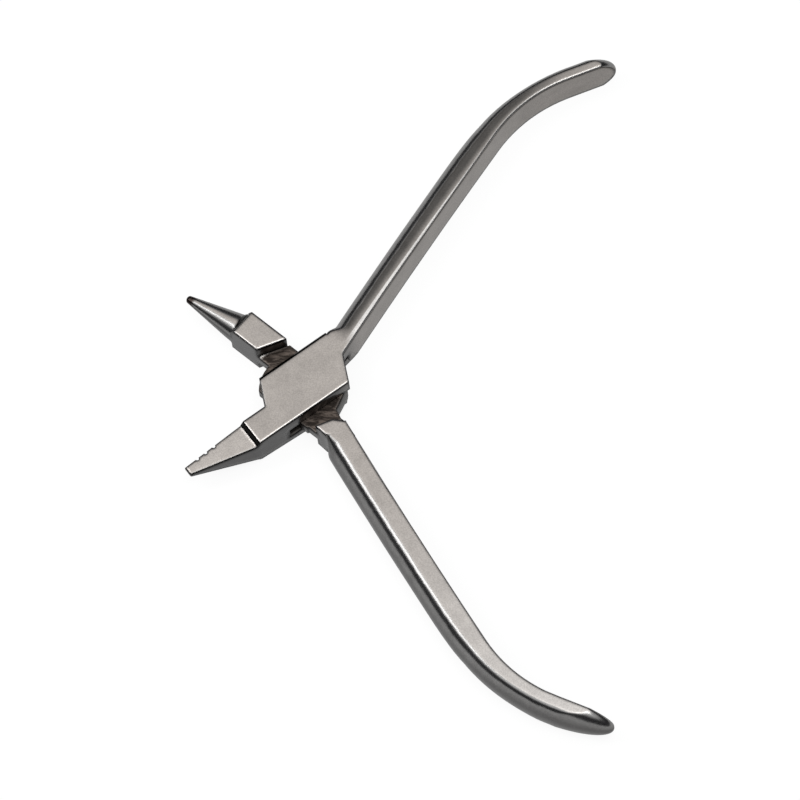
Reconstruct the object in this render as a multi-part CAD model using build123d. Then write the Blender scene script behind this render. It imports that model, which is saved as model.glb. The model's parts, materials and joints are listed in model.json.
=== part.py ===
from build123d import *
from math import cos, radians, sin
import os

os.makedirs("parts", exist_ok=True)

# Orthodontic bird-beak pliers with a box joint, in millimetres.
# The origin is on the pivot axis, at the underside that the pliers lie on.
# X runs along the line that halves the opening, towards the handles, and Z is up.
# Each half is drawn in its own closed frame: its beak points to -X with the gripping
# face at y = 0, and its handle runs to +X on the +Y side. The tongue half is then
# mirrored in y, and both halves are turned apart by half the opening.

# Whole instrument
joint_thickness = 9.8
opening_angle = 76.8
beak_line_lean = 1.0
beak_face_gap = 0.08
edge_break = 0.18

# Box joint: two cheeks on the box half, with the mortise between them
top_cheek = 4.0
mortise_height = 3.2
mortise_side_clearance = 0.05
tongue_radius = 9.0
tongue_rear_radius = 10.2
tongue_front_clearance = 0.8
tongue_rear_clearance = 0.2
tongue_end_distance = 9.55
tongue_end_normal = -15.0
tongue_end_chamfer_run = 0.63
tongue_end_chamfer_drop = 2.1
tongue_beak_side = 6.6
tongue_far_side = 5.8
box_beak_side = 6.4
box_far_side = 6.4
box_far_rounding = 1.0
box_far_reach = 11.5
cheek_front = 9.1
cheek_rear = 11.7
cheek_end_angle = 65.0
pocket_reach = 13.2
pocket_depth = 1.3
heel_relief_front = 12.4
heel_relief_reach = 16.8
heel_relief_depth = 0.88
lower_end_distance = 10.1
lower_corner_cut = 1.3

# Pivot pin, riveted flush at both ends
pin_diameter = 4.0
pin_running_clearance = 0.03
rivet_head_diameter = 5.2
rivet_head_depth = 0.6

# Square pyramid beak of the box half
beak_step_distance = 14.9
beak_step_drop = 1.2
beak_step_run = 0.9
front_underside_rise = 1.3
front_underside_length = 12.0
square_beak_reach = 30.7
beak_tip_height = 6.1
square_tip_width = 2.1
square_tip_height = 1.3
square_tip_corner = 0.35
groove_diameter = 0.8
groove_depth = 0.45
groove_first = 23.0
groove_pitch = 2.2
groove_count = 3

# Round cone beak of the tongue half, on its block
block_shoulder_distance = 10.8
block_shoulder_normal = 208.6
block_end_distance = 20.1
block_end_chamfer_run = 1.2
block_end_chamfer_drop = 2.4
block_width = 6.1
round_beak_reach = 33.3
round_tip_diameter = 1.4
cone_root_diameter = 5.7
cone_root_flare = 0.7

# Rear shoulder of the tongue half
rear_shoulder_distance = 10.85
rear_shoulder_normal = 27.5
rear_shoulder_corner = 1.9
web_front_side = 1.6
web_rear_side = 0.57
web_bend = 11.2
web_reach = 12.1
neck_foot_run = 1.8
neck_foot_rise = 0.55
rear_neck_width = 5.45
rear_neck_growth = 0.2

# Handles: the inner edge of both is a bowed run, a bend and a short straight end
handle_lead = 2.5
handle_run = 61.8
handle_run_angle = 20.15
box_handle_drop = 0.2
tongue_handle_drop = 0.4
handle_run_bow = 0.3
handle_bend_radius = 33.0
handle_bend_angle = 35.0
box_handle_end_run = 11.5
tongue_handle_end_run = 13.5
handle_edge_bevel = 0.25
handle_round_depth = 3.2
box_handle_flat = 2.5
tongue_handle_flat = 3.4
box_neck_width = 6.0
tongue_neck_width = 5.5
neck_round_depth = 1.2
box_neck_length = 2.4
tongue_neck_length = 2.9
scoop_length = 3.2
bend_thinning = 0.31
thinning_start = 54.0
thinning_end = 80.0
box_end_rounding = 9.0
tongue_end_rounding = 16.0
end_rounding_height = 12.6
end_tip_offset = 0.8
end_side_margin = 0.1

# Levels and half sizes that follow from the values above
mid_height = joint_thickness / 2
mortise_top = joint_thickness - top_cheek
mortise_floor = mortise_top - mortise_height
tongue_floor = mortise_floor + mortise_side_clearance
tongue_thickness = mortise_height - 2 * mortise_side_clearance
mortise_radius = tongue_radius + tongue_front_clearance
mortise_rear_radius = tongue_rear_radius + tongue_rear_clearance
half_opening = opening_angle / 2
face_inset = beak_face_gap / 2
cheek_end_slope = cos(radians(cheek_end_angle)) / sin(radians(cheek_end_angle))

# Reach of the tangents of the rounded side: an ellipse, and the squarer neck
ELLIPSE_FULLNESS = 0.55
NECK_FULLNESS = 0.9
RUN_STEPS = 6
BEND_STEPS = 6
SCOOP_STEPS = 4
END_STEPS = 3


def smooth_step(value):
    """Rises smoothly from 0 to 1 while value goes from 0 to 1."""
    value = min(max(value, 0.0), 1.0)
    return value * value * (3 - 2 * value)


def prism(corners, floor, height):
    """Upright solid on a closed outline of plan points."""
    return extrude(Plane.XY.offset(floor) * make_face(Polyline(*corners, close=True)), height)


def disc(radius, floor, height):
    """Upright cylinder about the pivot axis."""
    return Pos(0, 0, floor) * Cylinder(radius, height, align=(Align.CENTER, Align.CENTER, Align.MIN))


def handle_line(run_angle, drop, end_run):
    """Inner edge of the handle in plan, from inside the neck to the end."""
    along = Vector(cos(radians(run_angle)), sin(radians(run_angle)))
    across = Vector(-along.Y, along.X)
    corner = Vector(cheek_rear, -drop)
    middle = corner + along * (handle_run / 2) + across * handle_run_bow
    run = ThreePointArc(corner, middle, corner + along * handle_run)
    lead = Line(corner - (run % 0) * handle_lead, corner)
    bend = JernArc(run @ 1, run % 1, handle_bend_radius, -handle_bend_angle)
    end = Line(bend @ 1, (bend @ 1) + (bend % 1) * end_run)
    return Wire([lead, run, bend, end])


def handle_section(path, distance, flat, depth, fullness):
    """D-shaped section: flat inner side, flat top and bottom strips, rounded outer side.

    fullness is the reach of the tangents of the rounded side: 0.55 gives an ellipse
    and values near 1 give almost a square corner.
    """
    point = path.position_at(distance, position_mode=PositionMode.LENGTH)
    along = path.tangent_at(distance, position_mode=PositionMode.LENGTH)
    plane = Plane(origin=point, x_dir=Vector(-along.Y, along.X), z_dir=along)
    top = joint_thickness
    edge = handle_edge_bevel
    outer = flat + depth
    reach = fullness * depth
    lift = fullness * mid_height
    lines = [
        Line((0, edge), (0, top - edge)),
        Line((0, top - edge), (edge, top)),
        Line((edge, top), (flat, top)),
        Bezier((flat, top), (flat + reach, top), (outer, mid_height + lift), (outer, mid_height)),
        Bezier((outer, mid_height), (outer, mid_height - lift), (flat + reach, 0), (flat, 0)),
        Line((flat, 0), (edge, 0)),
        Line((edge, 0), (0, edge)),
    ]
    return plane * make_face(lines)


def handle_widths(distance, flat):
    """Width of the flat strip and depth of the rounding at a distance along the handle."""
    thin = smooth_step((distance - thinning_start) / (thinning_end - thinning_start))
    scale = 1 - bend_thinning * thin
    return flat * scale, handle_round_depth * scale


def end_room(path, rounding, width):
    """Ellipsoid that rounds the last stretch of a handle in plan and in height."""
    tip = path @ 1
    along = path % 1
    across = Vector(-along.Y, along.X)
    middle = tip - along * rounding + across * end_tip_offset + Vector(0, 0, mid_height)
    reach = width - end_tip_offset + end_side_margin
    shape = scale(Sphere(1), by=(rounding, reach, end_rounding_height / 2))
    return Plane(origin=middle, x_dir=along, z_dir=(0, 0, 1)) * shape


def handle(flat, run_angle, drop, end_run, rounding, neck_width, neck_length):
    """Whole handle: squared neck, scoop into the D section, long run, bend and end."""
    path = handle_line(run_angle, drop, end_run)
    length = path.length
    neck_end = handle_lead + neck_length
    scoop_end = neck_end + scoop_length
    end_start = length - rounding
    strip, depth = handle_widths(scoop_end, flat)

    def neck_section(distance):
        share = smooth_step((distance - neck_end) / scoop_length)
        width = neck_width + (strip + depth - neck_width) * share
        rounded = neck_round_depth + (depth - neck_round_depth) * share
        fullness = NECK_FULLNESS + (ELLIPSE_FULLNESS - NECK_FULLNESS) * share
        return handle_section(path, distance, width - rounded, rounded, fullness)

    def run_section(distance):
        return handle_section(path, distance, *handle_widths(distance, flat), ELLIPSE_FULLNESS)

    def even(first, last, count):
        return [first + (last - first) * i / count for i in range(count + 1)]

    squared = loft([neck_section(0), neck_section(neck_end)])
    scoop = loft([neck_section(d) for d in even(neck_end, scoop_end, SCOOP_STEPS)])
    bend_start = handle_lead + handle_run
    run = loft([run_section(d) for d in even(scoop_end, bend_start, RUN_STEPS)])
    bend = loft([run_section(d) for d in even(bend_start, end_start, BEND_STEPS)])
    end = loft([run_section(d) for d in even(end_start, length, END_STEPS)])
    end &= end_room(path, rounding, sum(handle_widths(end_start, flat)))
    return squared + scoop + run + bend + end


def beak_frame(distance, width, floor, top):
    """Upright rectangle across the beak, from the gripping face outwards."""
    middle = Pos(-face_inset - width / 2, (floor + top) / 2)
    return Plane.YZ.offset(-distance) * middle * Rectangle(width, top - floor)


def underside_relief():
    """Wedge that thins the box towards the beak, on its underside."""
    start = beak_step_distance - front_underside_length
    front = -beak_step_distance
    outline = Polyline((-start, 0), (front, front_underside_rise), (front, 0), close=True)
    return extrude(Plane.XZ * make_face(outline), 2 * box_beak_side, both=True)


def lower_end_relief():
    """Room beside the lower cheek, whose rear end is set back and has its corner cut."""
    normal = cheek_end_angle - 90
    upper = on_line(lower_end_distance, normal, 0)
    lower = on_line(lower_end_distance, normal, lower_corner_cut - box_beak_side)
    cut = (lower[0] - lower_corner_cut, -box_beak_side)
    outside = 2 * cheek_rear
    corners = [upper, lower, cut, (cut[0], -outside), (outside, -outside), (outside, 0)]
    return prism(corners, 0, mortise_floor)


def heel_relief():
    """Shallow hollow in the lower half of the handle's inner side, behind the lower cheek."""
    normal = cheek_end_angle - 90
    angle = radians(handle_run_angle + beak_line_lean)
    face = (heel_relief_reach - cheek_rear) * sin(angle) / cos(angle) - box_handle_drop
    corners = [
        on_line(lower_end_distance, normal, -heel_relief_depth),
        on_line(lower_end_distance, normal, heel_relief_depth),
        (heel_relief_front, heel_relief_depth),
        (heel_relief_reach, face),
        (heel_relief_reach, -heel_relief_depth),
    ]
    return prism(corners, 0, mortise_floor)


def square_beak():
    """Flat pyramid with the wire grooves across its gripping face."""
    foot_distance = beak_step_distance + beak_step_run
    foot_floor = front_underside_rise + beak_step_drop / 2
    root = beak_frame(beak_step_distance, box_beak_side, front_underside_rise, joint_thickness)
    foot = beak_frame(foot_distance, box_beak_side, foot_floor, joint_thickness - beak_step_drop)
    tip_floor = beak_tip_height - square_tip_height / 2
    tip = beak_frame(square_beak_reach, square_tip_width, tip_floor, tip_floor + square_tip_height)
    shoulder = loft([root, foot], ruled=True)
    pyramid = loft([foot, tip], ruled=True)
    corner = pyramid.edges().filter_by(Axis.Z).group_by(Axis.X)[0].sort_by(Axis.Y)[0]
    pyramid = fillet(corner, square_tip_corner)
    long_edges = pyramid.edges().filter_by(lambda edge: edge.length > square_beak_reach / 3)
    pyramid = chamfer(long_edges, edge_break)
    for index in range(groove_count):
        x = -groove_first - index * groove_pitch
        y = -face_inset + groove_diameter / 2 - groove_depth
        pyramid -= Pos(x, y, mid_height) * Cylinder(groove_diameter / 2, joint_thickness)
    return shoulder + pyramid


def rivet_seats():
    """Countersinks at both outer faces of the cheeks."""
    head = (rivet_head_diameter - pin_diameter) / 2
    cone = Cone(pin_diameter / 2, rivet_head_diameter / 2, rivet_head_depth)
    upper = Pos(0, 0, joint_thickness - rivet_head_depth / 2) * cone
    return upper + mirror(upper, Plane.XY.offset(mid_height))


def pivot_pin():
    """Rivet that fills the bore and both countersinks, ground flush."""
    return disc(pin_diameter / 2, 0, joint_thickness) + rivet_seats()


def box_half():
    """Half with the two cheeks, the mortise between them and the square beak."""
    front_top = box_far_side * cheek_end_slope
    rear_bottom = box_beak_side * cheek_end_slope
    cheeks = prism(
        [
            (-beak_step_distance, -face_inset),
            (-cheek_front, -face_inset),
            (-cheek_front + front_top, box_far_side),
            (box_far_reach, box_far_side),
            (cheek_rear, 0),
            (cheek_rear - rear_bottom, -box_beak_side),
            (-beak_step_distance, -box_beak_side),
        ],
        0,
        joint_thickness,
    )
    far_edges = cheeks.edges().filter_by(Axis.X).group_by(Axis.Y)[-1]
    cheeks = fillet(far_edges, box_far_rounding)
    cheeks -= underside_relief() + lower_end_relief()
    grip = handle(
        box_handle_flat,
        handle_run_angle + beak_line_lean,
        box_handle_drop,
        box_handle_end_run,
        box_end_rounding,
        box_neck_width,
        box_neck_length,
    )
    body = cheeks + grip + square_beak()
    mortise = disc(mortise_radius, mortise_floor, mortise_height)
    rear_half = strip(0, mortise_rear_radius, -mortise_rear_radius, mortise_rear_radius)
    rear_room = prism(rear_half, 0, joint_thickness)
    mortise += disc(mortise_rear_radius, mortise_floor, mortise_height) & rear_room
    open_end = strip(0, 2 * cheek_rear, -2 * cheek_rear, 0)
    mortise += prism(open_end, mortise_floor, mortise_height)
    pocket = strip(mortise_radius, pocket_reach, -pocket_depth, pocket_depth)
    mortise += prism(pocket, mortise_floor, mortise_height)
    body -= mortise + heel_relief()
    return body - pivot_pin()


def round_beak():
    """Cone with a flared root, standing on the end of the block."""
    radius = cone_root_diameter / 2
    tip = round_tip_diameter / 2
    root = Vector(-block_end_distance, -face_inset - block_width / 2, mid_height)
    point = Vector(-round_beak_reach, -face_inset - tip, beak_tip_height)
    length = (point - root).length
    sink = block_end_chamfer_run
    flare = cone_root_flare
    outline = [
        Line((-sink, 0), (-sink, radius + flare)),
        Line((-sink, radius + flare), (0, radius + flare)),
        Line((0, radius + flare), (flare, radius)),
        Line((flare, radius), (length - tip, tip)),
        RadiusArc((length - tip, tip), (length, 0), tip),
        Line((length, 0), (-sink, 0)),
    ]
    cone = revolve(make_face(outline), Axis.X)
    placed = Plane(origin=root, x_dir=point - root, z_dir=Vector(0, 0, 1).cross(point - root)) * cone
    block_side = strip(-2 * round_beak_reach, 0, -face_inset - block_width, -face_inset)
    room = prism(block_side, 0, joint_thickness)
    return placed & room


def strip(left, right, low, high):
    """Corners of a plan rectangle."""
    return [(left, low), (right, low), (right, high), (left, high)]


def on_line(distance, normal_angle, y):
    """Plan point at height y on the line at a distance from the pivot."""
    return ((distance - y * sin(radians(normal_angle))) / cos(radians(normal_angle)), y)


def block():
    """Full-height block in front of the tongue, its end chamfered above and below the cone."""
    outer = -face_inset - block_width
    corners = [
        on_line(block_shoulder_distance, block_shoulder_normal, -face_inset),
        on_line(block_shoulder_distance, block_shoulder_normal, outer),
        (-block_end_distance, outer),
        (-block_end_distance, -face_inset),
    ]
    solid = prism(corners, 0, joint_thickness)
    top = joint_thickness
    run = block_end_chamfer_run
    drop = block_end_chamfer_drop
    for level, side in ((top, -1), (0, 1)):
        outline = Polyline(
            (-block_end_distance, level),
            (-block_end_distance + run, level),
            (-block_end_distance, level + side * drop),
            close=True,
        )
        solid -= extrude(Plane.XZ * make_face(outline), 2 * block_width, both=True)
    return solid


def tongue_end_room():
    """Space that leaves the rear end of the tongue flat, with a steep chamfer above."""
    top = tongue_floor + tongue_thickness
    outline = Polyline(
        (-tongue_rear_radius, tongue_floor),
        (tongue_end_distance, tongue_floor),
        (tongue_end_distance, top - tongue_end_chamfer_drop),
        (tongue_end_distance - tongue_end_chamfer_run, top),
        (-tongue_rear_radius, top),
        close=True,
    )
    room = extrude(Plane.XZ * make_face(outline), 2 * tongue_rear_radius, both=True)
    return Rot(0, 0, tongue_end_normal) * room


def rear_neck():
    """Full-height root of the handle behind the rear shoulder."""
    inner = on_line(rear_shoulder_distance, rear_shoulder_normal, rear_shoulder_corner)
    outer = on_line(rear_shoulder_distance, rear_shoulder_normal, rear_neck_width)
    grown = rear_neck_width + rear_neck_growth
    return [inner, outer, (outer[0] + tongue_neck_length, grown)]


def tongue_half():
    """Half with the tongue, the block and the round beak."""
    handle_angle = handle_run_angle - beak_line_lean
    front_inner = on_line(block_shoulder_distance, block_shoulder_normal, -face_inset)
    front_outer = on_line(block_shoulder_distance, block_shoulder_normal, -tongue_beak_side)
    inner, outer, grown = rear_neck()
    lift = 2 * tongue_neck_length * sin(radians(handle_angle)) - tongue_handle_drop / 2
    behind = (cheek_rear + 2 * tongue_neck_length, lift)
    step = (cheek_rear + neck_foot_run, neck_foot_rise)

    tongue = disc(tongue_radius, tongue_floor, tongue_thickness)
    lobe = disc(tongue_rear_radius, tongue_floor, tongue_thickness)
    rear_side = strip(0, tongue_rear_radius, -tongue_rear_radius, tongue_far_side / 2)
    lobe &= prism(rear_side, 0, joint_thickness)
    lobe &= tongue_end_room()
    tongue = (tongue + lobe) & prism(
        strip(-cheek_rear, cheek_rear, -tongue_beak_side, tongue_far_side), 0, joint_thickness
    )
    front_corners = [front_inner, (0, -face_inset), (0, -tongue_beak_side), front_outer]
    front = prism(front_corners, tongue_floor, tongue_thickness)
    rear_corners = [(0, face_inset), step, behind, grown, outer, (0, rear_neck_width)]
    rear = prism(rear_corners, tongue_floor, tongue_thickness)
    end_distance = tongue_end_distance - tongue_end_chamfer_run
    web_corners = [
        on_line(end_distance, tongue_end_normal, -web_front_side),
        (web_bend, -web_rear_side),
        (web_reach, -web_rear_side),
        step,
        (0, neck_foot_rise),
    ]
    rear += prism(web_corners, tongue_floor, tongue_thickness)
    neck = prism([inner, step, behind, grown, outer], 0, joint_thickness)
    free_corners = [
        (0, -cheek_rear),
        (0, cheek_rear),
        (outer[0], cheek_rear),
        outer,
        inner,
        step,
        (step[0], -cheek_rear),
    ]
    free = prism(free_corners, 0, joint_thickness)
    grip = handle(
        tongue_handle_flat,
        handle_angle,
        tongue_handle_drop,
        tongue_handle_end_run,
        tongue_end_rounding,
        tongue_neck_width,
        tongue_neck_length,
    )
    grip -= free
    body = block() + round_beak() + tongue + front + rear + neck + grip
    bore = disc(pin_diameter / 2 + pin_running_clearance, 0, joint_thickness)
    return body - bore


box = Rot(0, 0, half_opening - beak_line_lean) * box_half()
tongue = Rot(0, 0, -half_opening - beak_line_lean) * mirror(tongue_half(), Plane.XZ)
pin = pivot_pin()

export_step(box, "parts/box_half.step")
export_step(tongue, "parts/tongue_half.step")
export_step(pin, "parts/pivot_pin.step")
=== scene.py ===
import json
from math import cos, radians, sin

import bmesh
import bpy
from bpy.props import FloatProperty, FloatVectorProperty, PointerProperty
from bpy.types import Operator, Panel, PropertyGroup
from mathutils import Matrix, Vector

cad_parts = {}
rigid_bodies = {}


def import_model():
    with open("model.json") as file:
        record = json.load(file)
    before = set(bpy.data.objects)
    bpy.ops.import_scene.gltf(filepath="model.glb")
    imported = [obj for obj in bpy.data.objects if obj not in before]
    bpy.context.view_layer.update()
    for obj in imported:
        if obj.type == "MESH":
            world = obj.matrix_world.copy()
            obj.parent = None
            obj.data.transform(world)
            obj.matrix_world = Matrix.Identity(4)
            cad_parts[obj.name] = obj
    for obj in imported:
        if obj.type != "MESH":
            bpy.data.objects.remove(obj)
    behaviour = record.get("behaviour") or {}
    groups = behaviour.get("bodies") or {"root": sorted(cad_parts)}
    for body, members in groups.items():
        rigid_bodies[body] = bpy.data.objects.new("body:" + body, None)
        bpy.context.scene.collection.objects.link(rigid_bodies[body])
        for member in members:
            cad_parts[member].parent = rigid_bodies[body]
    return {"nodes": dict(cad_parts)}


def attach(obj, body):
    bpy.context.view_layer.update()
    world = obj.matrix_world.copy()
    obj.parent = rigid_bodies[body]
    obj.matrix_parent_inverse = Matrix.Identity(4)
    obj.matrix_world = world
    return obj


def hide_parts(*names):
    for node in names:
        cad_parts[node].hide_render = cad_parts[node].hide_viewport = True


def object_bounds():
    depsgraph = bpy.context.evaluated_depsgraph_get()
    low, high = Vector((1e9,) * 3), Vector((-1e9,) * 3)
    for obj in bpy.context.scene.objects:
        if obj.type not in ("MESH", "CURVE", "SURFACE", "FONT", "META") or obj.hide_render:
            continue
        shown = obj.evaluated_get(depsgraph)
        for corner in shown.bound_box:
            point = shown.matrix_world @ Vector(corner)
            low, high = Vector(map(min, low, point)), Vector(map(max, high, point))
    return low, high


bl_info = {
    "name": "Orthodontic pliers finish",
    "version": (1, 0, 0),
    "blender": (4, 5, 0),
    "location": "View3D > Sidebar > Pliers",
    "description": "Steel finishes, edges and studio for a pair of box-joint pliers",
    "category": "Object",
}

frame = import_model()
CAD_BOX = [list(corner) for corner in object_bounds()]

# Lengths are in metres, as the frame is. The origin is on the pivot axis.

# In the plan of the closed half the round beak points to -X with its gripping face at y = 0.
# The matrix leads from there to the frame, and the beak's root and point are given there.
CLOSED_TO_REST = Matrix.Rotation(radians(-39.4), 3, "Z") @ Matrix.Diagonal((1, -1, 1))
BEAK_ROOT = Vector((-0.0201, -0.00309, 0.0049))
BEAK_POINT = Vector((-0.0333, -0.00074, 0.0061))

# Length of the burnt point, and the run over which it darkens.
BURNT_LENGTH = 0.0024
BURNT_FADE = 0.0011

# Pairs give where a change over the surface starts and where it is complete.
# Painted light: along the next two ranges the handle's sides and tops are painted lighter.
HANDLE_SIDE_LIFTS = (0.008, 0.013)
HANDLE_TOP_LIFTS = (0.008, 0.060)
BLOCK_ENDS = (0.004, 0.009)
CONE_STARTS = (0.0005, 0.0008)
SLOPE_SHOWS = (0.35, 0.8)
CROWN_DARKENS = (0.0004, 0.0026)
CROWN_STARTS = (0.0015, 0.0065)
CROWN_ENDS = (0.070, 0.086)
RIM_ENDS = (0.0011, 0.0013)
STREAK_SHOWS = (0.40, 0.68)

# Reach of the stain from the pivot axis, on the ground faces and on the sides.
BOX_STAIN_REACH = (0.0125, 0.0094)
TONGUE_STAIN_REACH = (0.0109, 0.0080)
PIN_STAIN_REACH = (0.0094, 0.0094)

# Colours over the steel: stains, the burnt point and a dull edge, and painted shade and
# highlights.
# Stain of the box half and the pin: heat stain made near-black as painted shade of the mortise
# pocket.
MORTISE_STAIN_AND_SHADE = ((0.004, 0.003, 0.003), (0.014, 0.011, 0.010))
TONGUE_STREAK = (0.20, 0.16, 0.135)
# Painted shade: the stain is darker still on the sides.
STAINED_SIDE_SHADE = (0.010, 0.008, 0.007)
# Rubbed stain and painted highlight along the edges of the stained ground faces.
RUBBED_STAIN_AND_HIGHLIGHT = (0.40, 0.36, 0.33)
BURNT_POINT = (0.028, 0.017, 0.014)
# Painted shade on the block's slopes between its ground faces and its sides.
SLOPE_SHADE = (0.010, 0.009, 0.008)
# Painted shade in inner corners.
CREVICE_SHADE = (0.006, 0.005, 0.004)
CROWN_SHADE = (0.03, 0.03, 0.03)
# Painted shade: a dark line along the edges of the sides.
SIDE_EDGE_SHADE = (0.02, 0.02, 0.02)
DULL_EDGE = (0.5, 0.49, 0.48)

# How much of each stain, polish, painted shade and painted highlight covers the steel below it.
SLOPE_SHADE_COVER = 0.96
CROWN_COVER = 0.84
CROWN_END_COVER = 0.85
RIM_HIGHLIGHT_COVER = 0.9
EDGE_COVER = 0.85
STAIN_COVER = 0.94
STAINED_SIDE_SHADE_COVER = 0.85
STAINED_EDGE_COVER = 0.8
BURNT_COVER = 0.93

STALE_LAYERS = ("sharp_edge", "sharp_face", "custom_normal")
SMALLEST_WIDTH = 1e-6

FLOOR_REACH = 3.0
PAPER_GREY = 0.16
PAPER_GLOW = 0.91
MIRRORED_GLOW = 0.45
ROOM_DARK = (0.035, 0.035, 0.038)
ROOM_LIGHT = (1.0, 1.0, 1.0)
LAMP_TARGET = (0.02, 0.0, 0.0)
LAMPS = (
    ("Left softbox", (-0.60, 0.02, 0.80), (0.22, 0.50), 1.3),
    ("Overhead softbox", (0.22, -0.16, 0.97), (0.35, 0.35), 1.2),
)


class EdgeSettings(PropertyGroup):
    """How the edges of each piece are broken."""

    half_edge: FloatProperty(
        name="Edge break",
        description="Width of the small rounding along the edges of the two halves",
        default=0.00008,
        unit="LENGTH",
    )
    # The strip that it masks on the ground faces is burnished wear and a painted highlight.
    wear_and_sheen_radius: FloatProperty(
        name="Wear radius",
        description="Turns normals on the ground faces; the polished strip is a third of it",
        default=0.0010,
        unit="LENGTH",
    )
    # The dark line that it masks on the sides is painted shade.
    shade_radius: FloatProperty(
        name="Shade radius",
        description="Turns normals on the sides; the dark line is a third of it",
        default=0.0022,
        unit="LENGTH",
    )
    flush_radius: FloatProperty(
        name="Flush rivet",
        description="Edges nearer to the pivot axis than this stay sharp: the rivet is flush",
        default=0.0031,
        unit="LENGTH",
    )
    sharp_angle: FloatProperty(
        name="Sharp angle",
        description="Edges that turn by more than this are broken",
        default=radians(22),
        subtype="ANGLE",
    )


class SteelSettings(PropertyGroup):
    """Colours of the steel."""

    flat_colour: FloatVectorProperty(
        name="Ground face",
        description="Colour of the finely ground top and bottom faces",
        default=(0.47, 0.435, 0.405),
        subtype="COLOR",
        size=3,
    )
    round_colour: FloatVectorProperty(
        name="Rounded face",
        description="Colour of the polished roundings of the handles and the beak",
        default=(0.36, 0.355, 0.35),
        subtype="COLOR",
        size=3,
    )
    # Painted shade: the flat sides are much darker than the ground faces.
    side_shade_colour: FloatVectorProperty(
        name="Side face",
        description="Colour of the flat sides",
        default=(0.13, 0.128, 0.128),
        subtype="COLOR",
        size=3,
    )
    tint_colour: FloatVectorProperty(
        name="Heat tint",
        description="Dark brown stain of the tongue",
        default=(0.024, 0.016, 0.012),
        subtype="COLOR",
        size=3,
    )
    # Also the colour of painted highlights: the strip along the ground faces' edges, the rim of
    # the box half's handle top and the lighter handle tops.
    edge_and_highlight_colour: FloatVectorProperty(
        name="Burnished edge",
        description="Colour of the broken edges",
        default=(0.86, 0.84, 0.82),
        subtype="COLOR",
        size=3,
    )


class HandleSettings(PropertyGroup):
    """Plan of the box half's handle, closed, from the corner where its inner edge starts."""

    opening: FloatProperty(
        name="Opening",
        description="Turn of the half from its closed place",
        default=radians(37.4),
        subtype="ANGLE",
    )
    corner_x: FloatProperty(
        name="Corner X",
        description="Start of the inner edge",
        default=0.0117,
        unit="LENGTH",
    )
    corner_y: FloatProperty(
        name="Corner Y",
        description="Start of the inner edge",
        default=-0.0002,
        unit="LENGTH",
    )
    angle: FloatProperty(
        name="Run angle",
        description="Direction of the run",
        default=radians(20.15),
        subtype="ANGLE",
    )
    run: FloatProperty(
        name="Run",
        description="Length of the bowed run",
        default=0.0618,
        unit="LENGTH",
    )
    bow: FloatProperty(
        name="Bow",
        description="Rise of the run in its middle",
        default=0.0003,
        unit="LENGTH",
    )
    bend_radius: FloatProperty(
        name="Bend radius",
        description="Inner radius of the bend",
        default=0.033,
        unit="LENGTH",
    )
    bend_angle: FloatProperty(
        name="Bend angle",
        description="Turn of the bend",
        default=radians(35),
        subtype="ANGLE",
    )


class StudioSettings(PropertyGroup):
    """Camera and brightness of the room."""

    azimuth: FloatProperty(
        name="Azimuth",
        description="Turn of the camera",
        default=radians(8.456),
        subtype="ANGLE",
    )
    elevation: FloatProperty(
        name="Elevation",
        description="Height angle of the camera",
        default=radians(66.05),
        subtype="ANGLE",
    )
    roll: FloatProperty(
        name="Roll",
        description="Roll of the camera",
        default=radians(7.82),
        subtype="ANGLE",
    )
    distance: FloatProperty(
        name="Distance",
        description="Camera to aim point",
        default=1.94148,
        unit="LENGTH",
    )
    dark_below: FloatProperty(
        name="Dark below",
        description="Sine of the height angle under which the room is dark",
        default=0.56,
    )
    light_above: FloatProperty(
        name="Light above",
        description="Sine of the height angle over which the room is light",
        default=0.935,
    )
    lens: FloatProperty(
        name="Lens",
        description="Focal length in mm on a 36 mm sensor",
        default=405.225,
    )
    aim: FloatVectorProperty(
        name="Aim point",
        description="Point in the middle of the picture",
        default=(0.02194261, -0.00416186, 0.0098),
        subtype="TRANSLATION",
        size=3,
    )


class PliersSettings(PropertyGroup):
    """All settings of the pliers scene."""

    edges: PointerProperty(type=EdgeSettings)
    steel: PointerProperty(type=SteelSettings)
    handle: PointerProperty(type=HandleSettings)
    studio: PointerProperty(type=StudioSettings)


def new_group(name, inputs, outputs):
    """Shader node group with named sockets; returns the group and its two end nodes."""
    group = bpy.data.node_groups.new(name, "ShaderNodeTree")
    for label, kind, default in inputs:
        socket = group.interface.new_socket(name=label, in_out="INPUT", socket_type=kind)
        if default is not None:
            socket.default_value = default
    for label, kind in outputs:
        group.interface.new_socket(name=label, in_out="OUTPUT", socket_type=kind)
    start = group.nodes.new("NodeGroupInput")
    end = group.nodes.new("NodeGroupOutput")
    return group, start.outputs, end.inputs


def put(tree, source, target):
    """Links two sockets, or sets the target's value when the source is a plain value."""
    if isinstance(source, bpy.types.NodeSocket):
        tree.links.new(source, target)
    else:
        target.default_value = source


def add(tree, kind, **values):
    """Adds a node and fills its inputs by name."""
    node = tree.nodes.new(kind)
    for label, value in values.items():
        put(tree, value, node.inputs[label])
    return node


def place(tree, group, **values):
    """Puts a shared group into a material and fills its inputs by name."""
    node = tree.nodes.new("ShaderNodeGroup")
    node.node_tree = group
    for label, value in values.items():
        put(tree, value, node.inputs[label])
    return node


def maths(tree, operation, *values, clamp=False):
    """One Math node; takes sockets or numbers and returns the result's socket."""
    node = tree.nodes.new("ShaderNodeMath")
    node.operation = operation
    node.use_clamp = clamp
    for value, socket in zip(values, node.inputs):
        put(tree, value, socket)
    return node.outputs[0]


def times(tree, first, *others):
    """Product of sockets or numbers."""
    for other in others:
        first = maths(tree, "MULTIPLY", first, other)
    return first


def inverse(tree, value):
    """1 minus the value."""
    return maths(tree, "SUBTRACT", 1.0, value)


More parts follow.
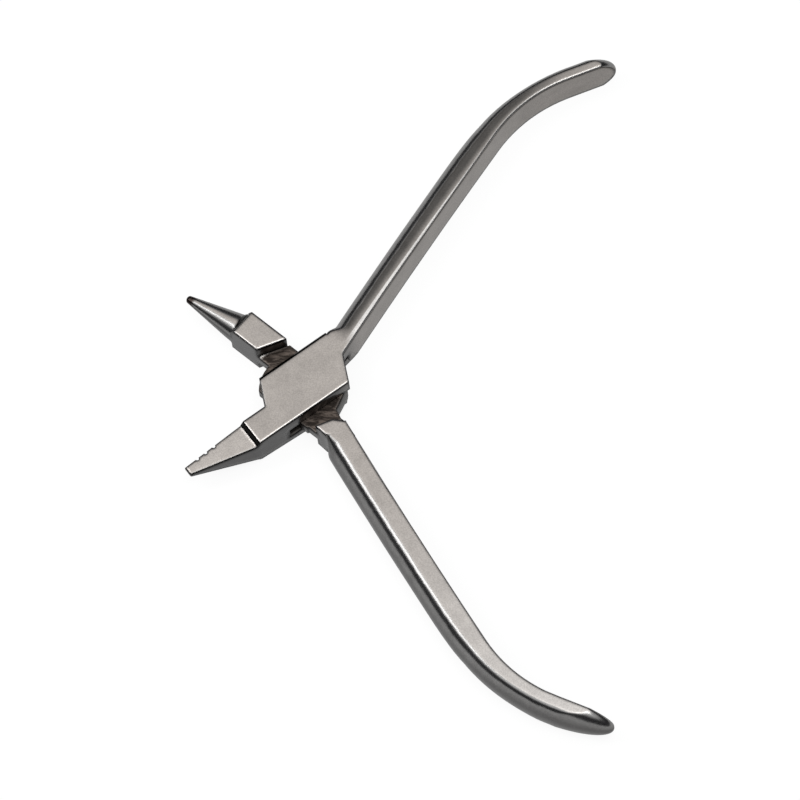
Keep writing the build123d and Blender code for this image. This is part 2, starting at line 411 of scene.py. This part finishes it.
def ramp(tree, value, low, high):
    """0 below low, 1 above high, smooth between them."""
    node = tree.nodes.new("ShaderNodeMapRange")
    node.interpolation_type = "SMOOTHSTEP"
    put(tree, value, node.inputs["Value"])
    put(tree, low, node.inputs["From Min"])
    put(tree, high, node.inputs["From Max"])
    return node.outputs["Result"]


def split(tree, vector):
    """X, Y and Z of a vector."""
    return add(tree, "ShaderNodeSeparateXYZ", Vector=vector).outputs


def dot(tree, first, second):
    """Dot product of two vectors."""
    node = tree.nodes.new("ShaderNodeVectorMath")
    node.operation = "DOT_PRODUCT"
    put(tree, first, node.inputs[0])
    put(tree, second, node.inputs[1])
    return node.outputs["Value"]


def plan_length(tree, x, y):
    """Length of a plan vector."""
    return maths(tree, "SQRT", maths(tree, "ADD", times(tree, x, x), times(tree, y, y)))


def choose(tree, share, first, second, kind="FLOAT", mode="MIX"):
    """Value between first and second."""
    node = tree.nodes.new("ShaderNodeMix")
    node.data_type = kind
    node.blend_type = mode
    put(tree, share, node.inputs["Factor"])
    put(tree, first, node.inputs["A"])
    put(tree, second, node.inputs["B"])
    return node.outputs["Result"]


def blend(tree, share, first, second, mode="MIX"):
    """Colour between first and second, which are sockets or colours."""
    first, second = ((*c, 1.0) if isinstance(c, tuple) else c for c in (first, second))
    return choose(tree, share, first, second, "RGBA", mode)


def ground_grain():
    """Fine random grinding grain, with long faint scratches and soft cloudy patches."""
    group, start, end = new_group(
        "Ground grain",
        [
            ("Vector", "NodeSocketVector", None),
            ("Grain", "NodeSocketFloat", 3600.0),
            ("Scratches", "NodeSocketFloat", 900.0),
        ],
        [
            ("Height", "NodeSocketFloat"),
            ("Cloud", "NodeSocketFloat"),
            ("Speck", "NodeSocketFloat"),
        ],
    )
    scratch_share, speck_range = 0.7, (0.30, 0.70)
    vector = start["Vector"]
    noise = "ShaderNodeTexNoise"
    grain = add(group, noise, Vector=vector, Scale=start["Grain"], Detail=3.0, Roughness=0.6)
    turn = add(
        group,
        "ShaderNodeMapping",
        Vector=vector,
        Scale=(1.0, 9.0, 1.0),
        Rotation=(0.0, 0.0, radians(31)),
    ).outputs["Vector"]
    lines = add(group, noise, Vector=turn, Scale=start["Scratches"], Detail=2.0, Roughness=0.5)
    cloud = add(group, noise, Vector=vector, Scale=260.0, Detail=3.0, Roughness=0.55)
    scratches = times(group, lines.outputs["Fac"], scratch_share)
    put(group, maths(group, "ADD", grain.outputs["Fac"], scratches), end["Height"])
    put(group, cloud.outputs["Fac"], end["Cloud"])
    put(group, ramp(group, grain.outputs["Fac"], *speck_range), end["Speck"])
    return group


def face_kind():
    """Tells ground faces, roundings and sides apart by the direction that a face looks in."""
    group, start, end = new_group(
        "Face kind",
        [("Normal", "NodeSocketVector", None), ("Upright", "NodeSocketFloat", 0.970)],
        [("Flat", "NodeSocketFloat"), ("Side", "NodeSocketFloat")],
    )
    flat_fade = 0.028
    side_ends = (0.10, 0.60)
    upright = maths(group, "ABSOLUTE", split(group, start["Normal"])["Z"])
    high = maths(group, "ADD", start["Upright"], flat_fade)
    put(group, ramp(group, upright, start["Upright"], high), end["Flat"])
    put(group, inverse(group, ramp(group, upright, *side_ends)), end["Side"])
    return group


def edge_wear_and_sheen():
    """Turns the normal over each edge and masks the strip beside it, but not at the rivet."""
    group, start, end = new_group(
        "Edge wear",
        [
            ("Vector", "NodeSocketVector", None),
            ("Radius", "NodeSocketFloat", 0.0003),
            ("Rivet", "NodeSocketFloat", 0.0035),
        ],
        [("Normal", "NodeSocketVector"), ("Mask", "NodeSocketFloat")],
    )
    mask_range = (0.006, 0.10)
    plain = group.nodes.new("ShaderNodeNewGeometry").outputs["Normal"]
    turned = add(group, "ShaderNodeBevel", Radius=start["Radius"])
    turned.samples = 16
    x, y, _ = split(group, start["Vector"])
    outside = maths(group, "GREATER_THAN", plan_length(group, x, y), start["Rivet"])
    normal = choose(group, outside, plain, turned.outputs["Normal"], "VECTOR")
    put(group, normal, end["Normal"])
    turn = inverse(group, dot(group, plain, normal))
    put(group, ramp(group, turn, *mask_range), end["Mask"])
    return group


def plan_line(tree, x, y, point, angle):
    """Distances along and across a plan line through a point, as two sockets."""
    right = maths(tree, "SUBTRACT", x, point.x)
    up = maths(tree, "SUBTRACT", y, point.y)
    along = maths(tree, "ADD", times(tree, right, cos(angle)), times(tree, up, sin(angle)))
    across = maths(tree, "SUBTRACT", times(tree, up, cos(angle)), times(tree, right, sin(angle)))
    return along, across


def handle_across():
    """Distances along the inner edge of the box half's handle, and across from it."""
    group, start, end = new_group(
        "Handle across",
        [("Vector", "NodeSocketVector", None)],
        [("Along", "NodeSocketFloat"), ("Across", "NodeSocketFloat")],
    )
    shape = bpy.context.scene.pliers.handle
    x, y, _ = split(group, start["Vector"])
    corner = Vector((shape.corner_x, shape.corner_y))
    corner.rotate(Matrix.Rotation(shape.opening, 2))
    angle = shape.angle + shape.opening
    along, across = plan_line(group, x, y, corner, angle)
    share = maths(group, "DIVIDE", along, shape.run)
    rise = times(group, share, inverse(group, share), 4 * shape.bow)
    run_across = maths(group, "SUBTRACT", across, rise)

    bend_start = corner + Vector((cos(angle), sin(angle))) * shape.run
    leave = angle - 4 * shape.bow / shape.run
    middle = bend_start + Vector((sin(leave), -cos(leave))) * shape.bend_radius
    right = maths(group, "SUBTRACT", x, middle.x)
    up = maths(group, "SUBTRACT", y, middle.y)
    bend_across = maths(group, "SUBTRACT", plan_length(group, right, up), shape.bend_radius)
    past_run, _ = plan_line(group, x, y, bend_start, leave)
    result = choose(group, maths(group, "GREATER_THAN", past_run, 0.0), run_across, bend_across)

    last = leave - shape.bend_angle
    end_start = middle + Vector((-sin(last), cos(last))) * shape.bend_radius
    past_bend, end_across = plan_line(group, x, y, end_start, last)
    result = choose(group, maths(group, "GREATER_THAN", past_bend, 0.0), result, end_across)
    put(group, along, end["Along"])
    put(group, result, end["Across"])
    return group


def joint_tint():
    """Mask of the heat stain: the layer of the tongue near the pivot, broken up by streaks. The
    box half and the pin colour this layer near-black, partly as painted shade of the mortise
    pocket.
    """
    group, start, end = new_group(
        "Joint tint",
        [
            ("Vector", "NodeSocketVector", None),
            ("Middle", "NodeSocketFloat", 0.0042),
            ("Half thickness", "NodeSocketFloat", 0.00158),
            ("Reach", "NodeSocketFloat", 0.0109),
        ],
        [("Mask", "NodeSocketFloat"), ("Streak", "NodeSocketFloat")],
    )
    layer_fade, reach_fade = 0.00009, 0.0008
    x, y, z = split(group, start["Vector"])
    off = maths(group, "ABSOLUTE", maths(group, "SUBTRACT", z, start["Middle"]))
    outer = maths(group, "ADD", start["Half thickness"], layer_fade)
    layer = inverse(group, ramp(group, off, start["Half thickness"], outer))
    far = maths(group, "ADD", start["Reach"], reach_fade)
    near = inverse(group, ramp(group, plan_length(group, x, y), start["Reach"], far))
    turn = add(
        group,
        "ShaderNodeMapping",
        Vector=start["Vector"],
        Rotation=(0.0, 0.0, radians(38)),
        Scale=(1.0, 4.0, 1.0),
    ).outputs["Vector"]
    streak = add(
        group,
        "ShaderNodeTexNoise",
        Vector=turn,
        Scale=420.0,
        Detail=4.0,
        Roughness=0.6,
        Distortion=0.6,
    )
    put(group, times(group, layer, near), end["Mask"])
    put(group, streak.outputs["Fac"], end["Streak"])
    return group


def crevice_shade():
    """Mask of painted shade in inner corners, from ambient occlusion."""
    group, start, end = new_group(
        "Crevice dirt",
        [("Reach", "NodeSocketFloat", 0.0032), ("Strength", "NodeSocketFloat", 0.96)],
        [("Mask", "NodeSocketFloat")],
    )
    dark_range = (0.28, 0.72)
    shade = add(group, "ShaderNodeAmbientOcclusion", Distance=start["Reach"])
    shade.samples = 8
    shade.only_local = True
    sharp = ramp(group, inverse(group, shade.outputs["AO"]), *dark_range)
    put(group, times(group, sharp, start["Strength"]), end["Mask"])
    return group


def shared_groups():
    """Builds each shared effect once and hands out the same groups afterwards."""
    makers = {
        "Ground grain": ground_grain,
        "Face kind": face_kind,
        "Edge wear": edge_wear_and_sheen,
        "Handle across": handle_across,
        "Joint tint": joint_tint,
        "Crevice dirt": crevice_shade,
    }
    groups = {name: bpy.data.node_groups.get(name) or make() for name, make in makers.items()}
    return {name.split()[-1]: group for name, group in groups.items()}


def empty_material(name):
    """New material with just a metallic Principled shader and its output."""
    material = bpy.data.materials.new(name)
    material.use_nodes = True
    tree = material.node_tree
    tree.nodes.clear()
    shader = tree.nodes.new("ShaderNodeBsdfPrincipled")
    end = tree.nodes.new("ShaderNodeOutputMaterial")
    tree.links.new(shader.outputs["BSDF"], end.inputs["Surface"])
    shader.inputs["Metallic"].default_value = 1.0
    return material, tree, shader


def base_colour(tree, flat, side, x, side_lift, top_lift):
    """Colour of the bare steel by the kind of face: painted shade darkens the sides, painted
    light lightens the handle along its run.
    """
    steel = bpy.context.scene.pliers.steel
    ground, bright_top = tuple(steel.flat_colour), tuple(steel.edge_and_highlight_colour)
    side_share = times(tree, ramp(tree, x, *HANDLE_SIDE_LIFTS), side_lift)
    sides = blend(tree, side_share, tuple(steel.side_shade_colour), ground)
    top_share = times(tree, ramp(tree, x, *HANDLE_TOP_LIFTS), top_lift)
    tops = blend(tree, top_share, ground, bright_top)
    colour = blend(tree, side, tuple(steel.round_colour), sides)
    return blend(tree, flat, colour, tops)


def crown_shade(tree, groups, vector, flat, colour):
    """Paints shade on the handle's top towards its outer side and paints a highlight on the rim
    at its inner edge.
    """
    steel = bpy.context.scene.pliers.steel
    handle = place(tree, groups["across"], Vector=vector).outputs
    ending = times(tree, ramp(tree, handle["Along"], *CROWN_ENDS), CROWN_END_COVER)
    starting = ramp(tree, handle["Along"], *CROWN_STARTS)
    on_run = times(tree, maths(tree, "SUBTRACT", starting, ending), flat)
    darker = times(tree, ramp(tree, handle["Across"], *CROWN_DARKENS), on_run)
    colour = blend(tree, times(tree, darker, CROWN_COVER), colour, CROWN_SHADE)
    rim_highlight = times(tree, inverse(tree, ramp(tree, handle["Across"], *RIM_ENDS)), on_run)
    return blend(tree, times(tree, rim_highlight, RIM_HIGHLIGHT_COVER), colour, tuple(steel.edge_and_highlight_colour))


def patina(tree, grain, colour):
    """Breaks a colour up by soft clouds and fine specks."""
    cloud_depth, cloud_floor = 0.40, 0.80
    speck_depth, speck_floor = 0.26, 0.87
    cloud = maths(tree, "MULTIPLY_ADD", grain.outputs["Cloud"], cloud_depth, cloud_floor)
    speck = maths(tree, "MULTIPLY_ADD", grain.outputs["Speck"], speck_depth, speck_floor)
    shade = times(tree, cloud, speck)
    grey = add(tree, "ShaderNodeCombineColor", Red=shade, Green=shade, Blue=shade)
    return blend(tree, 1.0, colour, grey.outputs["Color"], "MULTIPLY")


def half_steel(
    name,
    groups,
    stain,
    stain_reach,
    side_lift=0.0,
    top_lift=0.0,
    rub_and_sheen=0.0,
    crown=False,
    cone=None,
):
    """Steel of one half.

    stain holds the dark and the light colour of its heat stain; for the box half and the pin
    both are near-black, partly painted shade of the mortise pocket.
    stain_reach holds how far it goes from the pivot axis, on the ground faces and on the sides.
    side_lift and top_lift lighten the handle's sides and its ground faces along the handle:
    painted light.
    rub_and_sheen lightens the edges of the stained ground faces: rubbed stain and painted
    highlight.
    crown paints shade on the handle's top and a highlight along its inner rim.
    cone is (root, point) of the round beak, whose point is burnt.
    """
    steel = bpy.context.scene.pliers.steel
    edges = bpy.context.scene.pliers.edges
    material, tree, shader = empty_material(name)
    vector = tree.nodes.new("ShaderNodeTexCoord").outputs["Object"]
    normal = tree.nodes.new("ShaderNodeNewGeometry").outputs["Normal"]
    kind = place(tree, groups["kind"], Normal=normal)
    flat, side = kind.outputs["Flat"], kind.outputs["Side"]
    grain = place(tree, groups["grain"], Vector=vector)
    tint = place(tree, groups["tint"], Vector=vector, Reach=choose(tree, side, *stain_reach))
    radius = choose(tree, side, edges.wear_and_sheen_radius, edges.shade_radius)
    wear = place(tree, groups["wear"], Vector=vector, Radius=radius)
    dirt = place(tree, groups["dirt"]).outputs["Mask"]
    at_edge, in_stain = wear.outputs["Mask"], tint.outputs["Mask"]
    off_flat = inverse(tree, flat)
    height = grain.outputs["Height"]

    x = split(tree, vector)["X"]
    colour = base_colour(tree, flat, side, x, side_lift, top_lift)
    on_block = inverse(tree, ramp(tree, x, *BLOCK_ENDS))
    if cone:
        root, point = cone
        axis = (point - root).normalized()
        beak_run = maths(tree, "SUBTRACT", dot(tree, vector, axis), root.dot(axis))
        on_cone = ramp(tree, beak_run, *CONE_STARTS)
        on_block = maths(tree, "SUBTRACT", on_block, on_cone, clamp=True)
    # Painted shade: the block's slopes between ground faces and sides are darkened to
    # near-black.
    between = times(tree, off_flat, inverse(tree, side))
    slope = times(tree, ramp(tree, between, *SLOPE_SHOWS), on_block)
    colour = blend(tree, times(tree, slope, SLOPE_SHADE_COVER), colour, SLOPE_SHADE)
    # Painted shade over the handle's top and a painted highlight on its inner rim.
    if crown:
        colour = crown_shade(tree, groups, vector, flat, colour)
    # Burnished wear and painted highlight: a light strip along the edges of the ground faces,
    # left out in the stain.
    wear_and_highlight = times(tree, at_edge, flat, EDGE_COVER, inverse(tree, in_stain))
    colour = blend(tree, wear_and_highlight, colour, tuple(steel.edge_and_highlight_colour))
    # Painted shade: a dark line along the edges of the sides.
    colour = blend(tree, times(tree, at_edge, side, EDGE_COVER), colour, SIDE_EDGE_SHADE)
    colour = patina(tree, grain, colour)

    streak = blend(tree, ramp(tree, tint.outputs["Streak"], *STREAK_SHOWS), *stain)
    # Painted shade: off the ground faces the stain goes near-black.
    streak = blend(tree, times(tree, off_flat, STAINED_SIDE_SHADE_COVER), streak, STAINED_SIDE_SHADE)
    colour = blend(tree, times(tree, in_stain, STAIN_COVER), colour, streak)
    # Rubbed stain and painted highlight along the edges of the stained ground faces.
    colour = blend(tree, times(tree, at_edge, in_stain, flat, rub_and_sheen), colour, RUBBED_STAIN_AND_HIGHLIGHT)
    if cone:
        burnt_start = (point - root).length - BURNT_LENGTH
        burnt = ramp(tree, beak_run, burnt_start, burnt_start + BURNT_FADE)
        colour = blend(tree, times(tree, burnt, BURNT_COVER), colour, BURNT_POINT)
        rings = tree.nodes.new("ShaderNodeTexNoise")
        rings.noise_dimensions = "1D"
        rings.inputs["Scale"].default_value = 6000.0
        rings.inputs["Detail"].default_value = 1.0
        put(tree, beak_run, rings.inputs["W"])
        ring_depth = 0.4
        height = choose(tree, on_cone, height, times(tree, rings.outputs["Fac"], ring_depth))
    # Painted shade in inner corners, from ambient occlusion; the same mask also roughens the
    # steel there.
    colour = blend(tree, dirt, colour, CREVICE_SHADE)
    put(tree, colour, shader.inputs["Base Color"])

    polished, ground_adds, stain_adds, corner_rough_adds = 0.25, 0.08, 0.22, 0.5
    ground = maths(tree, "SUBTRACT", flat, wear_and_highlight)
    rough = maths(tree, "MULTIPLY_ADD", ground, ground_adds, polished)
    rough = maths(tree, "ADD", rough, times(tree, in_stain, stain_adds))
    rough = maths(tree, "ADD", rough, times(tree, dirt, corner_rough_adds), clamp=True)
    put(tree, rough, shader.inputs["Roughness"])

    edge_smooths = 0.9
    height = times(tree, height, inverse(tree, times(tree, at_edge, edge_smooths)))
    relief = add(tree, "ShaderNodeBump", Strength=0.12, Distance=0.00002, Height=height)
    put(tree, wear.outputs["Normal"], relief.inputs["Normal"])
    put(tree, relief.outputs["Normal"], shader.inputs["Normal"])
    return material


def edge_steel(name, groups):
    """Burnished steel of the broken edges."""
    steel = bpy.context.scene.pliers.steel
    material, tree, shader = empty_material(name)
    vector = tree.nodes.new("ShaderNodeTexCoord").outputs["Object"]
    grain = place(tree, groups["grain"], Vector=vector)
    tint = place(tree, groups["tint"], Vector=vector)
    wear_and_highlight = blend(tree, grain.outputs["Cloud"], DULL_EDGE, tuple(steel.edge_and_highlight_colour))
    stained = times(tree, tint.outputs["Mask"], STAINED_EDGE_COVER)
    colour = blend(tree, stained, wear_and_highlight, tuple(steel.tint_colour))
    put(tree, colour, shader.inputs["Base Color"])
    shader.inputs["Roughness"].default_value = 0.22
    height = grain.outputs["Height"]
    relief = add(tree, "ShaderNodeBump", Strength=0.2, Distance=0.00001, Height=height)
    put(tree, relief.outputs["Normal"], shader.inputs["Normal"])
    return material


def mark_edges(work, width):
    """Chooses the edges that are broken.

    Those of the flush rivet stay sharp, and all stay sharp when the width is 0.
    """
    edges = bpy.context.scene.pliers.edges
    weight = work.edges.layers.float.new("bevel_weight_edge")
    for edge in work.edges:
        if edge.calc_face_angle(0.0) < edges.sharp_angle:
            continue
        middle = (edge.verts[0].co + edge.verts[1].co) / 2
        if width > 0 and middle.xy.length > edges.flush_radius:
            edge[weight] = 1.0
        else:
            edge.smooth = False


def fill_out_round_beak(work):
    """Brings the round beak to its full root and squares the lower front edge of its block.

    It works in the plan of the closed half. No vertex goes below the CAD model's box in X.
    """
    block_front, underside = -0.0186, 0.0001
    block_side, gripping_face = -0.00614, -0.00004
    cone_start, cone_radius = -0.0008, 0.00375
    root_fullness, added_at_point, root_drop = 1.15, 0.10, 0.0010
    axis = (BEAK_POINT - BEAK_ROOT).normalized()
    length = (BEAK_POINT - BEAK_ROOT).length
    for vertex in work.verts:
        spot = CLOSED_TO_REST.transposed() @ vertex.co
        if spot.x < block_front and spot.z < underside:
            spot.x = BEAK_ROOT.x
        run = (spot - BEAK_ROOT).dot(axis)
        offset = spot - BEAK_ROOT - axis * run
        if run > cone_start and offset.length < cone_radius:
            share = min(max(run / length, 0.0), 1.0)
            spot = BEAK_ROOT + axis * run + offset * (root_fullness + added_at_point * share)
            spot.z -= root_drop * (1 - share)
            spot.y = min(max(spot.y, block_side), gripping_face)
            spot.z = max(spot.z, underside)
        vertex.co = CLOSED_TO_REST @ spot
        vertex.co.x = max(vertex.co.x, CAD_BOX[0][0])


def clean_copy(node, width, shape):
    """Merged, smooth copy of a CAD node's mesh with the edges to break marked.

    shape is a function that alters its form, or None.
    """
    same_spot, same_plane = 2e-7, radians(0.6)
    mesh = frame["nodes"][node].data.copy()
    mesh.materials.clear()
    work = bmesh.new()
    work.from_mesh(mesh)
    bmesh.ops.remove_doubles(work, verts=work.verts, dist=same_spot)
    bmesh.ops.dissolve_limit(
        work,
        angle_limit=same_plane,
        verts=work.verts,
        edges=work.edges,
        use_dissolve_boundaries=False,
    )
    for edge in work.edges:
        edge.smooth = True
    for face in work.faces:
        face.smooth = True
    if shape:
        shape(work)
    mark_edges(work, width)
    for layer in STALE_LAYERS:
        if layer in mesh.attributes:
            mesh.attributes.remove(mesh.attributes[layer])
    work.to_mesh(mesh)
    work.free()
    return mesh


def finished_piece(node, name, width, materials, body, shape=None):
    """Piece with broken edges that stands for a CAD node."""
    mesh = clean_copy(node, width, shape)
    for material in materials:
        mesh.materials.append(material)
    objects = bpy.context.scene.collection.objects
    draft = bpy.data.objects.new(name + "_draft", mesh)
    objects.link(draft)
    rounding = draft.modifiers.new("Edge break", "BEVEL")
    rounding.width = max(width, SMALLEST_WIDTH)
    rounding.segments = 3
    rounding.limit_method = "WEIGHT"
    rounding.material = 1
    rounding.use_clamp_overlap = True
    rounding.harden_normals = False
    rounding.miter_outer = "MITER_ARC"
    weighted = draft.modifiers.new("Face normals", "WEIGHTED_NORMAL")
    weighted.mode = "FACE_AREA"
    weighted.keep_sharp = True
    bpy.context.view_layer.update()
    graph = bpy.context.evaluated_depsgraph_get()
    final = bpy.data.meshes.new_from_object(
        draft.evaluated_get(graph), preserve_all_data_layers=True, depsgraph=graph
    )
    final.name = name
    piece = bpy.data.objects.new(name, final)
    objects.link(piece)
    bpy.data.objects.remove(draft)
    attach(piece, body)
    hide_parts(node)


class PLIERS_OT_box_half(Operator):
    """Finish the half with the cheeks and the square beak"""

    bl_idname = "pliers.box_half"
    bl_label = "Box half"

    def execute(self, context):
        groups = shared_groups()
        steel = half_steel(
            "Box half steel",
            groups,
            MORTISE_STAIN_AND_SHADE,
            BOX_STAIN_REACH,
            side_lift=0.75,
            crown=True,
        )
        finished_piece(
            "box_half",
            "box_half_finish",
            context.scene.pliers.edges.half_edge,
            [steel, edge_steel("Box half edges", groups)],
            "box_side",
        )
        return {"FINISHED"}


class PLIERS_OT_tongue_half(Operator):
    """Finish the half with the tongue and the round beak"""

    bl_idname = "pliers.tongue_half"
    bl_label = "Tongue half"

    def execute(self, context):
        groups = shared_groups()
        steel = half_steel(
            "Tongue half steel",
            groups,
            (tuple(context.scene.pliers.steel.tint_colour), TONGUE_STREAK),
            TONGUE_STAIN_REACH,
            side_lift=0.06,
            top_lift=0.45,
            rub_and_sheen=0.5,
            cone=(CLOSED_TO_REST @ BEAK_ROOT, CLOSED_TO_REST @ BEAK_POINT),
        )
        finished_piece(
            "tongue_half",
            "tongue_half_finish",
            context.scene.pliers.edges.half_edge,
            [steel, edge_steel("Tongue half edges", groups)],
            "tongue_side",
            fill_out_round_beak,
        )
        return {"FINISHED"}


class PLIERS_OT_pivot_pin(Operator):
    """Finish the riveted pin, ground flush with the cheeks"""

    bl_idname = "pliers.pivot_pin"
    bl_label = "Pivot pin"

    def execute(self, context):
        steel = half_steel("Pin steel", shared_groups(), MORTISE_STAIN_AND_SHADE, PIN_STAIN_REACH)
        finished_piece("pivot_pin", "pivot_pin_finish", 0.0, [steel], "box_side")
        return {"FINISHED"}


def area_light(name, position, size, power):
    """Soft rectangular lamp that looks at the pliers."""
    lamp = bpy.data.lights.new(name, "AREA")
    lamp.shape = "RECTANGLE"
    lamp.size, lamp.size_y = size
    lamp.energy = power
    holder = bpy.data.objects.new(name, lamp)
    bpy.context.scene.collection.objects.link(holder)
    holder.location = position
    look = Vector(LAMP_TARGET) - Vector(position)
    holder.rotation_euler = look.to_track_quat("-Z", "Y").to_euler()
    holder.visible_camera = False


def floor_material():
    """White paper that looks white, straight on and mirrored, and keeps a soft shadow."""
    material = bpy.data.materials.new("White paper")
    material.use_nodes = True
    tree = material.node_tree
    tree.nodes.clear()
    end = tree.nodes.new("ShaderNodeOutputMaterial")
    paper = tree.nodes.new("ShaderNodeBsdfDiffuse")
    paper.inputs["Color"].default_value = (PAPER_GREY, PAPER_GREY, PAPER_GREY, 1.0)
    glow = tree.nodes.new("ShaderNodeEmission")
    rays = tree.nodes.new("ShaderNodeLightPath").outputs
    seen = maths(tree, "MAXIMUM", rays["Is Camera Ray"], rays["Is Transmission Ray"])
    direct = times(tree, seen, PAPER_GLOW)
    mirrored = times(tree, rays["Is Glossy Ray"], MIRRORED_GLOW)
    put(tree, maths(tree, "MAXIMUM", direct, mirrored), glow.inputs["Strength"])
    both = tree.nodes.new("ShaderNodeAddShader")
    tree.links.new(paper.outputs[0], both.inputs[0])
    tree.links.new(glow.outputs[0], both.inputs[1])
    tree.links.new(both.outputs[0], end.inputs["Surface"])
    return material


def lay_floor(scene):
    """Large sheet of white paper under the pliers."""
    mesh = bpy.data.meshes.new("floor")
    corners = [
        (-FLOOR_REACH, -FLOOR_REACH, 0),
        (FLOOR_REACH, -FLOOR_REACH, 0),
        (FLOOR_REACH, FLOOR_REACH, 0),
        (-FLOOR_REACH, FLOOR_REACH, 0),
    ]
    mesh.from_pydata(corners, [], [(0, 1, 2, 3)])
    mesh.materials.append(floor_material())
    floor = bpy.data.objects.new("floor", mesh)
    scene.collection.objects.link(floor)


def make_room(scene):
    """World that is dark near the horizon and light overhead."""
    studio = scene.pliers.studio
    world = bpy.data.worlds.new("Studio")
    scene.world = world
    world.use_nodes = True
    tree = world.node_tree
    tree.nodes.clear()
    end = tree.nodes.new("ShaderNodeOutputWorld")
    sky = tree.nodes.new("ShaderNodeBackground")
    direction = tree.nodes.new("ShaderNodeTexCoord").outputs["Generated"]
    height = split(tree, direction)["Z"]
    light = ramp(tree, height, studio.dark_below, studio.light_above)
    put(tree, blend(tree, light, ROOM_DARK, ROOM_LIGHT), sky.inputs["Color"])
    tree.links.new(sky.outputs[0], end.inputs["Surface"])


def set_camera(scene):
    """Camera at the photograph's angle."""
    studio = scene.pliers.studio
    back = Vector((0, -1, 0))
    back.rotate(Matrix.Rotation(-studio.elevation, 3, "X"))
    back.rotate(Matrix.Rotation(studio.azimuth, 3, "Z"))
    across = Vector((0, 0, 1)).cross(back).normalized()
    upward = back.cross(across)
    roll = Matrix.Rotation(-studio.roll, 3, back)
    turned = Matrix((roll @ across, roll @ upward, back)).transposed().to_4x4()
    lens = bpy.data.cameras.new("Camera")
    lens.lens = studio.lens
    lens.sensor_width = 36.0
    lens.clip_end = 20.0
    camera = bpy.data.objects.new("Camera", lens)
    scene.collection.objects.link(camera)
    place_at = Vector(studio.aim) + back * studio.distance
    camera.matrix_world = Matrix.Translation(place_at) @ turned
    scene.camera = camera


class PLIERS_OT_studio(Operator):
    """Set up the floor, the lights and the camera"""

    bl_idname = "pliers.studio"
    bl_label = "Studio"

    def execute(self, context):
        scene = context.scene
        scene.view_settings.view_transform = "Standard"
        lay_floor(scene)
        make_room(scene)
        for lamp in LAMPS:
            area_light(*lamp)
        set_camera(scene)
        return {"FINISHED"}


OPERATORS = (PLIERS_OT_box_half, PLIERS_OT_tongue_half, PLIERS_OT_pivot_pin, PLIERS_OT_studio)


class PLIERS_PT_panel(Panel):
    """Lists the settings and the steps of the pliers scene"""

    bl_idname = "PLIERS_PT_panel"
    bl_label = "Orthodontic pliers"
    bl_space_type = "VIEW_3D"
    bl_region_type = "UI"
    bl_category = "Pliers"

    def draw(self, context):
        settings = context.scene.pliers
        for group in (settings.edges, settings.steel, settings.handle, settings.studio):
            box = self.layout.box()
            for name in group.__annotations__:
                box.prop(group, name)
        for step in OPERATORS:
            self.layout.operator(step.bl_idname)


CLASSES = (
    EdgeSettings,
    SteelSettings,
    HandleSettings,
    StudioSettings,
    PliersSettings,
    *OPERATORS,
    PLIERS_PT_panel,
)


def register():
    """Makes the settings, the steps and the panel known to Blender."""
    for item in CLASSES:
        bpy.utils.register_class(item)
    bpy.types.Scene.pliers = PointerProperty(type=PliersSettings)


def unregister():
    """Takes the settings, the steps and the panel away again."""
    del bpy.types.Scene.pliers
    for item in reversed(CLASSES):
        bpy.utils.unregister_class(item)


def main():
    register()
    bpy.ops.pliers.box_half()
    bpy.ops.pliers.tongue_half()
    bpy.ops.pliers.pivot_pin()
    bpy.ops.pliers.studio()


if __name__ == "__main__":
    main()
